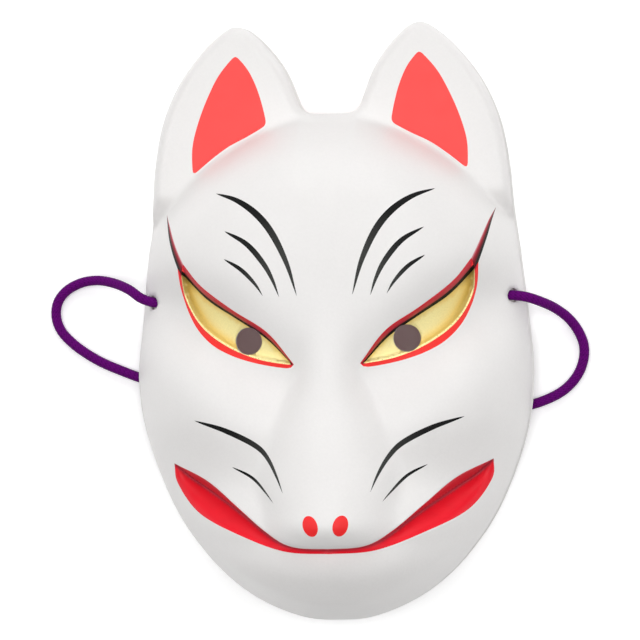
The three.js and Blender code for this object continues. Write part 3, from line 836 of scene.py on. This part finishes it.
class Look:
    """A new material, with the patterns and colours that its shader follows."""

    def __init__(self, name, specular=0.5, metallic=0.0):
        self.material = bpy.data.materials.new(name)
        self.material.use_nodes = True
        self.tree = self.material.node_tree
        self.shader = self.tree.nodes["Principled BSDF"]
        self.shader.inputs["Specular IOR Level"].default_value = specular
        self.shader.inputs["Metallic"].default_value = metallic
        self.coordinates = self.add("TexCoord", {}).outputs["Object"]

    def add(self, kind, inputs, **choices):
        """A new node with its choices made and its inputs set or linked."""
        node = self.tree.nodes.new("ShaderNode" + kind)
        for name, value in choices.items():
            setattr(node, name, value)
        for name, value in inputs.items():
            if isinstance(value, bpy.types.NodeSocket):
                self.tree.links.new(value, node.inputs[name])
            else:
                node.inputs[name].default_value = value
        return node

    def give(self, name, value):
        self.tree.links.new(value, self.shader.inputs[name])

    def noise(self, size, detail):
        """A cloudy pattern whose patches are about this many metres across."""
        node = self.add("TexNoise", {"Vector": self.coordinates, "Scale": 1 / size, "Detail": detail})
        return node.outputs["Fac"]

    def tone(self, name):
        """A value that the mesh holds at each point."""
        return self.add("Attribute", {}, attribute_name=name).outputs["Fac"]

    def ramp(self, value, stops):
        """A colour that follows a value through stops of place and colour."""
        node = self.add("ValToRGB", {"Fac": value})
        elements = node.color_ramp.elements
        while len(elements) < len(stops):
            elements.new(0.5)
        for element, (position, colour) in zip(elements, stops):
            element.position = position
            element.color = (*colour, 1)
        return node.outputs["Color"]

    def mottle(self, colour, pattern, amount):
        """Gives the shader a colour, made a little darker and lighter by a pattern."""
        shade = self.ramp(pattern, [(0.3, (1 - amount,) * 3), (0.7, (1, 1, 1))])
        inputs = {"Factor": 1, "A": colour, "B": shade}
        node = self.add("Mix", inputs, data_type="RGBA", blend_type="MULTIPLY")
        self.give("Base Color", node.outputs["Result"])

    def roughen(self, pattern, low, high):
        """A roughness that follows a pattern from a low to a high value."""
        ends = {"From Min": 0.3, "From Max": 0.7, "To Min": low, "To Max": high}
        self.give("Roughness", self.add("MapRange", {"Value": pattern, **ends}).outputs["Result"])

    def bump(self, pattern, distance):
        """A fine relief of this many metres that follows a pattern."""
        node = self.add("Bump", {"Height": pattern, "Distance": distance, "Strength": 0.5})
        self.give("Normal", node.outputs["Normal"])


def dimmed(colour, share):
    return tuple(channel * share for channel in colour)


def white_plastic(paints):
    look = Look("white_plastic", specular=0.4)
    cloud = look.noise(0.03, 4)
    grain = look.noise(0.0011, 2)
    base = look.ramp(cloud, [(0.35, dimmed(paints.plastic, 0.975)), (0.65, paints.plastic)])
    look.mottle(base, grain, 0.02)
    look.roughen(cloud, 0.4, 0.5)
    look.bump(grain, 0.00006)
    return look.material


def bare_plastic(paints):
    look = Look("bare_plastic")
    cloud = look.noise(0.02, 4)
    flow = look.noise(0.004, 6)
    base = look.ramp(cloud, [(0.3, dimmed(paints.plastic, 0.86)), (0.7, dimmed(paints.plastic, 0.93))])
    look.mottle(base, flow, 0.05)
    look.roughen(flow, 0.52, 0.68)
    look.bump(flow, 0.0002)
    return look.material


def red_paint(paints):
    look = Look("red_paint", specular=0.22)
    cloud = look.noise(0.006, 4)
    # The dull and deep red stops are painted shade under the lids, on the upper lip's wall and in the fold of
    # the mouth
    base = look.ramp(look.tone("red_tone"), [
        (0, paints.coral), (0.2, paints.rim_red), (0.4, paints.mouth_red),
        (0.6, paints.dull_red_and_shade), (0.8, paints.deep_red_and_shade), (1, paints.ink),
    ])
    look.mottle(base, cloud, 0.05)
    look.roughen(cloud, 0.36, 0.48)
    look.bump(look.noise(0.0009, 2), 0.00006)
    return look.material


def gold_paint(paints):
    look = Look("gold_paint", metallic=0.08)
    flakes = look.noise(0.0006, 2)
    # From pale to old gold is painted reflection and shade on the gilding
    base = look.ramp(look.tone("gold_tone"), [
        (0, paints.highlight_gold), (0.45, paints.gold), (1, paints.shaded_gold),
    ])
    look.mottle(base, flakes, 0.07)
    look.roughen(flakes, 0.34, 0.46)
    look.bump(flakes, 0.00004)
    return look.material


# The bevel at the foot of the gilding is pale gold, a painted highlight where light catches it
def highlit_gold_edge(paints):
    look = Look("highlit_gold_edge", metallic=0.4)
    flakes = look.noise(0.0006, 2)
    base = look.ramp(flakes, [(0.3, dimmed(paints.highlight_gold, 0.93)), (0.7, paints.highlight_gold)])
    look.give("Base Color", base)
    look.roughen(flakes, 0.25, 0.35)
    return look.material


def ink_paint(paints):
    look = Look("ink_paint", specular=0.15)
    streaks = look.noise(0.0012, 5)
    base = look.ramp(look.tone("ink_tone"), [(0.35, paints.ink), (0.7, paints.thin_ink)])
    look.mottle(base, streaks, 0.35)
    look.roughen(streaks, 0.42, 0.6)
    look.bump(streaks, 0.00005)
    return look.material


def tail_paint(paints):
    look = Look("tail_paint", specular=0.2)
    cloud = look.noise(0.002, 4)
    base = look.ramp(look.tone("tail_tone"), [
        (0.25, paints.ink), (0.5, paints.deep_red_and_shade), (0.78, paints.dull_red_and_shade), (1, paints.pale_pink),
    ])
    look.mottle(base, cloud, 0.1)
    look.roughen(cloud, 0.38, 0.52)
    return look.material


def braided_elastic(colour):
    look = Look("braided_elastic", specular=0.06)
    threads = look.noise(0.0003, 2)
    # The braid is painted darker in its grooves, as shade between the strands, and lighter on its crests
    crest_colour = tuple(min(1.3 * channel + 0.004, 1) for channel in colour)
    base = look.ramp(look.tone("braid"), [(0, dimmed(colour, 0.35)), (0.55, colour), (1, crest_colour)])
    look.mottle(base, threads, 0.25)
    look.roughen(threads, 0.65, 0.85)
    look.shader.inputs["Sheen Weight"].default_value = 0.02
    look.shader.inputs["Sheen Roughness"].default_value = 0.5
    look.bump(threads, 0.0001)
    return look.material


def table_paper():
    """White paper that glows a little, a painted light that washes out the shade round the mask, and hardly
    at all under the mask, where a dim red glow is painted light seen through the pupils.
    """
    look = Look("table_paper", specular=0.1)
    cloud = look.noise(0.2, 3)
    look.give("Base Color", look.ramp(cloud, [(0.3, (0.955, 0.955, 0.955)), (0.7, (0.97, 0.97, 0.97))]))
    look.roughen(cloud, 0.85, 0.95)
    shares = (1 / (HALF_WIDTH * MM), 1 / (HALF_HEIGHT * MM), 0)
    across = look.add("Mapping", {"Vector": look.coordinates, "Scale": shares})
    away = look.add("VectorMath", {0: across.outputs["Vector"]}, operation="LENGTH")
    # Painted light: the paper glows pale grey away from the mask and dim red under it
    painted_glow = look.ramp(away.outputs["Value"], [(0.7, (0.04, 0.01, 0.01)), (0.95, (0.2, 0.2, 0.2))])
    look.give("Emission Color", painted_glow)
    look.shader.inputs["Emission Strength"].default_value = 1
    return look.material


# The braided cord

STRANDS = 5
STRAND_LENGTH = 1.7
ROUTE_STEPS = 900

# The cord reaches its knot and ends in it this far from the knot's face, in millimetres
LEAD_GAP = 0.6
LEAD_END = 1

# Half the thickness of the cord in a knot, as a share of the loose cord's thickness
TIED_SHARE = 0.48
KNOT_STEPS = 240


def braided_tube(path, radius, relief, closed=False, sides=30, step=0.45):
    """Points, faces and braid heights of a tube with a braid in relief along a path."""
    length = np.linalg.norm(np.diff(path, axis=0), axis=1).sum()
    line = along(path, int(length / step), closed)
    ahead = np.roll(line, -1, axis=0) - np.roll(line, 1, axis=0)
    if not closed:
        ahead[0], ahead[-1] = line[1] - line[0], line[-1] - line[-2]
    ahead = unit(ahead)
    side = np.cross(ahead[0], (0, 0, 1))
    side /= np.linalg.norm(side)
    angle = turn(sides)
    points, heights = [], []
    for k, (centre, forward) in enumerate(zip(line, ahead)):
        side = side - forward * (side @ forward)
        side /= np.linalg.norm(side)
        up = np.cross(forward, side)
        twist = math.pi * k * step / STRAND_LENGTH
        braid = np.abs(np.sin(STRANDS * angle + twist) * np.sin(STRANDS * angle - twist)) ** 0.5
        size = radius - relief * (1 - braid)
        points.append(centre + size[:, None] * (np.cos(angle)[:, None] * side + np.sin(angle)[:, None] * up))
        heights.append(braid)
    rings = len(line)
    faces = []
    for k in range(rings if closed else rings - 1):
        for i in range(sides):
            j = (i + 1) % sides
            a, b = k * sides, (k + 1) % rings * sides
            faces.append((a + i, a + j, b + j, b + i))
    points, heights = np.vstack(points), np.concatenate(heights)
    if not closed:
        faces += [tuple(range(sides))[::-1], tuple(range((rings - 1) * sides, rings * sides))]
    return points, faces, heights, line


def box_of(node):
    """The two corners of a piece of the frame, in millimetres."""
    return [np.array(corner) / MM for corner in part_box(node)]


def cord_lead():
    """The cord's way from the right hole to a little way into its knot, in millimetres."""
    low, high = box_of("cord_knot_right")
    y, z = (low + high)[1:] / 2
    wall = bpy.context.scene.fox_mask_shell.wall / MM
    hole = (place([CORD_HOLE])[0][0] - wall / 2, y, CORD_HOLE_HEIGHT)
    return np.array([hole, (high[0] + LEAD_GAP, y, z), (high[0] - LEAD_END, y, z)])


def add_float(thing, name, values):
    layer = thing.data.attributes.new(name, "FLOAT", "POINT")
    layer.data.foreach_set("value", np.asarray(values, np.float32))


def finish_piece(thing, slot, *nodes):
    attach(thing, BODY)
    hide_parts(*nodes)


def make_knot(name, node, colour, radius, relief):
    """An overhand stopper knot, lengthwise along X."""
    low, high = box_of(node)
    centre, size = (low + high) / 2, high - low
    t = turn(KNOT_STEPS)
    spread_out = (size[1] / 2 - radius) / 3
    lift = size[0] / 2 - radius
    path = np.stack([
        -lift * np.sin(3 * t),
        spread_out * (np.sin(t) + 2 * np.sin(2 * t)),
        spread_out * (np.cos(t) - 2 * np.cos(2 * t)),
    ], axis=1)
    points, faces, heights, _ = braided_tube(centre + path, radius, relief, closed=True, sides=24, step=0.35)
    thing = build_mesh(name, points, faces, [colour])
    add_float(thing, "braid", heights)
    finish_piece(thing, CORD_SLOT, node)
    return thing


# The camera's view, in the photo's frame of pixels, and what it aims at in millimetres

FRAME_PIXELS = 640
SHIFT_PIXELS = (-13, 0.5)
SENSOR_WIDTH = 36
LENS = 128.7
AIM = (0, 0.65, 15)
TABLE_HALF = 2000

# Place and size of each lamp in metres, and its share of the power
LAMPS = {
    "top": ((0, 0, 1.5), (1.2, 1.2), 1),
    "far": ((0, 1.5, 0.9), (2, 1), 1.04),
    "left": ((-1.5, 0, 0.9), (1, 2), 0.68),
    "right": ((1.5, 0, 0.9), (1, 2), 0.72),
}


# Operators, one for each piece and one for the stage

class MASK_OT_stage(bpy.types.Operator):
    """Makes the camera, the lights and the table"""

    bl_idname = "fox_mask.stage"
    bl_label = "Make the stage"

    def execute(self, context):
        settings = context.scene.fox_mask_stage
        self.make_camera(context.scene, settings)
        self.make_table(context.scene)
        self.make_lights(context.scene, settings)
        return {"FINISHED"}

    def make_camera(self, scene, settings):
        aim = np.array(AIM) * MM
        yaw, roll = settings.camera_yaw, settings.camera_roll
        back = np.array([math.sin(yaw), 0, math.cos(yaw)])
        level = np.cross((0, 1, 0), back)
        level /= np.linalg.norm(level)
        upright = np.cross(back, level)
        right = math.cos(roll) * level - math.sin(roll) * upright
        up = math.sin(roll) * level + math.cos(roll) * upright
        eye = aim + back * settings.camera_distance
        data = bpy.data.cameras.new("camera")
        data.sensor_width = SENSOR_WIDTH
        data.lens = LENS
        data.shift_x, data.shift_y = [pixels / FRAME_PIXELS for pixels in SHIFT_PIXELS]
        camera = bpy.data.objects.new("camera", data)
        camera.matrix_world = Matrix([*np.column_stack([right, up, back, eye]).tolist(), [0, 0, 0, 1]])
        scene.collection.objects.link(camera)
        scene.camera = camera

    def make_table(self, scene):
        corners = [(x * TABLE_HALF, y * TABLE_HALF, 0) for x, y in ((-1, -1), (1, -1), (1, 1), (-1, 1))]
        table = build_mesh("table", corners, [(0, 1, 2, 3)], [table_paper()])

    def make_lights(self, scene, settings):
        world = bpy.data.worlds.new("studio")
        world.use_nodes = True
        world.node_tree.nodes["Background"].inputs["Color"].default_value = (1, 1, 1, 1)
        world.node_tree.nodes["Background"].inputs["Strength"].default_value = settings.sky
        scene.world = world
        scene.view_settings.view_transform = "Standard"
        for name, (spot, size, share) in LAMPS.items():
            data = bpy.data.lights.new(name, "AREA")
            data.shape = "RECTANGLE"
            data.size, data.size_y = size
            data.energy = share * settings.lamp_power
            lamp = bpy.data.objects.new(name, data)
            lamp.location = spot
            towards = -lamp.location.normalized()
            lamp.rotation_euler = towards.to_track_quat("-Z", "Y").to_euler()
            scene.collection.objects.link(lamp)


class MASK_OT_cord(bpy.types.Operator):
    """Makes the braided elastic cord and its two knots"""

    bl_idname = "fox_mask.cord"
    bl_label = "Make the cord"

    def execute(self, context):
        settings = context.scene.fox_mask_cord
        diameter = settings.diameter / MM
        relief = settings.relief / MM
        elastic = braided_elastic(settings.colour)
        knots = [
            make_knot(f"tied_knot_{side}", f"cord_knot_{side}", elastic, TIED_SHARE * diameter, relief)
            for side in ("left", "right")
        ]
        lead = cord_lead()
        route = smooth(np.vstack([lead[::-1] * (-1, 1, 1), CORD_ROUTE, lead]), ROUTE_STEPS, power=0.5)
        points, faces, heights, line = braided_tube(route, diameter / 2, relief)
        cord = build_mesh("braided_cord", points, faces, [elastic])
        add_float(cord, "braid", heights)
        finish_piece(cord, CORD_SLOT, "elastic_cord")
        return {"FINISHED"}


class MASK_OT_shell(bpy.types.Operator):
    """Makes the moulded shell of the mask and paints it"""

    bl_idname = "fox_mask.shell"
    bl_label = "Make the shell"

    def execute(self, context):
        settings = context.scene.fox_mask_shell
        xy, triangles, paint = face_sheet(settings)
        count = len(xy)
        outer = np.column_stack([xy, surface(xy, settings)])
        moved, inner_z = inner_sheet(xy, triangles, settings)
        inner = np.column_stack([moved, inner_z])
        border = boundary_edges(triangles, count)
        on_outline = distance_to(xy, WALL_EDGE, closed=True)[0] < ON_LINE
        rim_ids = np.unique(border[on_outline[border].all(axis=1)])
        rings = side_rings(xy[rim_ids], outer[rim_ids, 2], settings.wall / MM)
        slot_of = np.full(count, -1)
        slot_of[rim_ids] = np.arange(len(rim_ids))
        faces = [*triangles.tolist(), *(triangles[:, ::-1] + count).tolist()]
        names = ["white", "inside", "red", "gold", "edge", "ink", "tail"]
        marks = [names.index(name) for name in paint] + [names.index("inside")] * len(triangles)
        start = 2 * count
        size = len(rim_ids)
        for a, b in border.tolist():
            if slot_of[a] < 0 or slot_of[b] < 0:
                faces.append((b, a, a + count, b + count))
                marks.append(names.index("white"))
                continue
            chain_a = [a, *[start + k * size + slot_of[a] for k in range(len(rings))], a + count]
            chain_b = [b, *[start + k * size + slot_of[b] for k in range(len(rings))], b + count]
            for k in range(len(chain_a) - 1):
                faces.append((chain_b[k], chain_a[k], chain_a[k + 1], chain_b[k + 1]))
                marks.append(names.index("white" if k < OUTSIDE_RINGS else "inside"))
        points = np.vstack([outer, inner, *rings])
        paints = context.scene.fox_mask_paint
        materials = [
            white_plastic(paints), bare_plastic(paints), red_paint(paints),
            gold_paint(paints), highlit_gold_edge(paints), ink_paint(paints), tail_paint(paints),
        ]
        shell = build_mesh("painted_shell", points, faces, materials, marks)
        for name, tone in TONES.items():
            add_float(shell, name, np.concatenate([tone(folded(xy)), np.zeros(len(points) - count)]))
        finish_piece(shell, SHELL_SLOT, "mask_shell")
        return {"FINISHED"}


class MASK_PT_panel(bpy.types.Panel):
    """Lists the operators of the mask"""

    bl_idname = "MASK_PT_panel"
    bl_label = "Fox Mask"
    bl_space_type = "VIEW_3D"
    bl_region_type = "UI"
    bl_category = "Fox Mask"

    def draw(self, context):
        for groups, operator in SECTIONS:
            box = self.layout.box()
            for settings in groups:
                group = getattr(context.scene, settings)
                for name in group.__annotations__:
                    box.prop(group, name)
            box.operator(operator)


SECTIONS = [
    (("fox_mask_stage",), "fox_mask.stage"),
    (("fox_mask_cord",), "fox_mask.cord"),
    (("fox_mask_shell", "fox_mask_paint"), "fox_mask.shell"),
]
SETTINGS = {
    "fox_mask_stage": StageSettings,
    "fox_mask_cord": CordSettings,
    "fox_mask_shell": ShellSettings,
    "fox_mask_paint": PaintSettings,
}
OPERATORS = [MASK_OT_stage, MASK_OT_cord, MASK_OT_shell]


def register():
    for group in SETTINGS.values():
        bpy.utils.register_class(group)
    for name, group in SETTINGS.items():
        setattr(bpy.types.Scene, name, bpy.props.PointerProperty(type=group))
    for operator in (*OPERATORS, MASK_PT_panel):
        bpy.utils.register_class(operator)


def unregister():
    for operator in (MASK_PT_panel, *OPERATORS[::-1]):
        bpy.utils.unregister_class(operator)
    for name, group in SETTINGS.items():
        delattr(bpy.types.Scene, name)
        bpy.utils.unregister_class(group)


def main():
    register()
    bpy.ops.fox_mask.stage()
    bpy.ops.fox_mask.cord()
    bpy.ops.fox_mask.shell()


if __name__ == "__main__":
    main()
